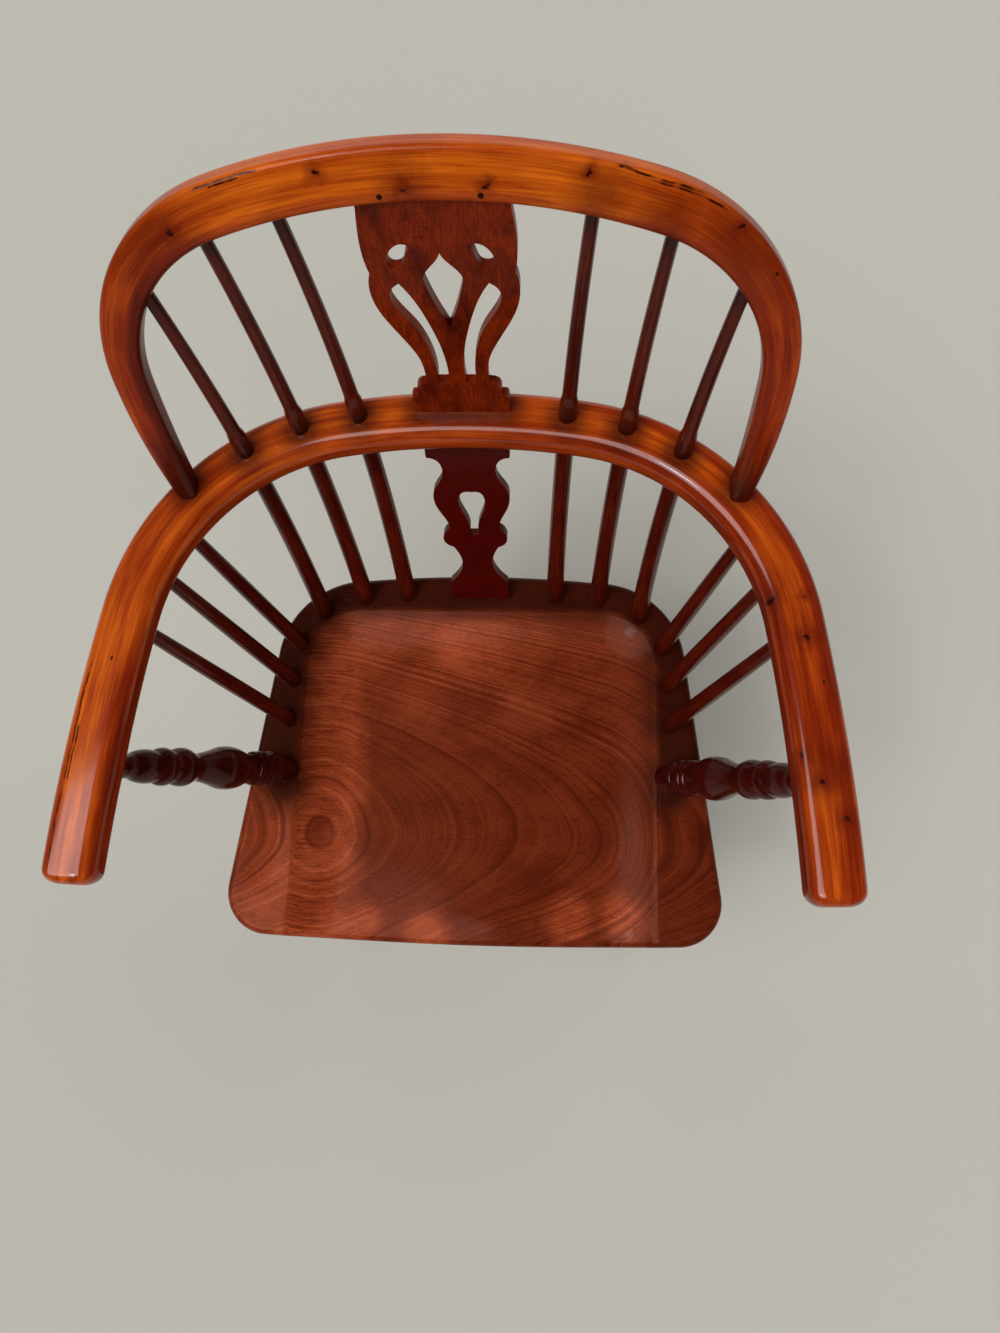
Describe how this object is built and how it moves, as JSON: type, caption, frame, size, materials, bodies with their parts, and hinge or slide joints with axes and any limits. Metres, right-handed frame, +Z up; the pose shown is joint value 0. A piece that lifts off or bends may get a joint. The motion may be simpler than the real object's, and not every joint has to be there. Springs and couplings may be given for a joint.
{
  "type": "windsor armchair",
  "caption": "Low-back wooden Windsor armchair with a saddled seat, bent arm and back bows, turned supports and legs, plain sticks and a pierced splat",
  "frame": {"origin": "on the floor, under the middle of the overall box", "axes": "+Z up, the sitter faces -Y, +X is the sitter's left"},
  "size_m": [0.6506, 0.5166, 0.9485],
  "materials": {
    "seat_wood": "waxed elm, red-brown, satin",
    "bow_wood": "waxed yew, amber to red-brown, glossy",
    "splat_wood": "dark stained, waxed",
    "stick_wood": "dark red-brown, waxed, glossy",
    "turned_wood": "dark red-brown, waxed, glossy",
    "pin_wood": "dark hardwood pin"
  },
  "bodies": {
    "root": {"seat": "seat_wood", "arm_bow": "bow_wood", "back_bow": "bow_wood", "upper_splat": "splat_wood", "lower_splat": "splat_wood", "stretcher_hoop": "turned_wood", "arm_support_left": "turned_wood", "stretcher_spur_left": "turned_wood", "front_leg_left": "turned_wood", "rear_leg_left": "turned_wood", "long_stick_left_1": "stick_wood", "short_stick_left_1": "stick_wood", "long_stick_left_2": "stick_wood", "short_stick_left_2": "stick_wood", "long_stick_left_3": "stick_wood", "short_stick_left_3": "stick_wood", "arm_support_right": "turned_wood", "stretcher_spur_right": "turned_wood", "front_leg_right": "turned_wood", "rear_leg_right": "turned_wood", "long_stick_right_1": "stick_wood", "short_stick_right_1": "stick_wood", "long_stick_right_2": "stick_wood", "short_stick_right_2": "stick_wood", "long_stick_right_3": "stick_wood", "short_stick_right_3": "stick_wood", "bow_tenon_wedges": "bow_wood", "splat_pins": "pin_wood"}
  },
  "joints": []
}
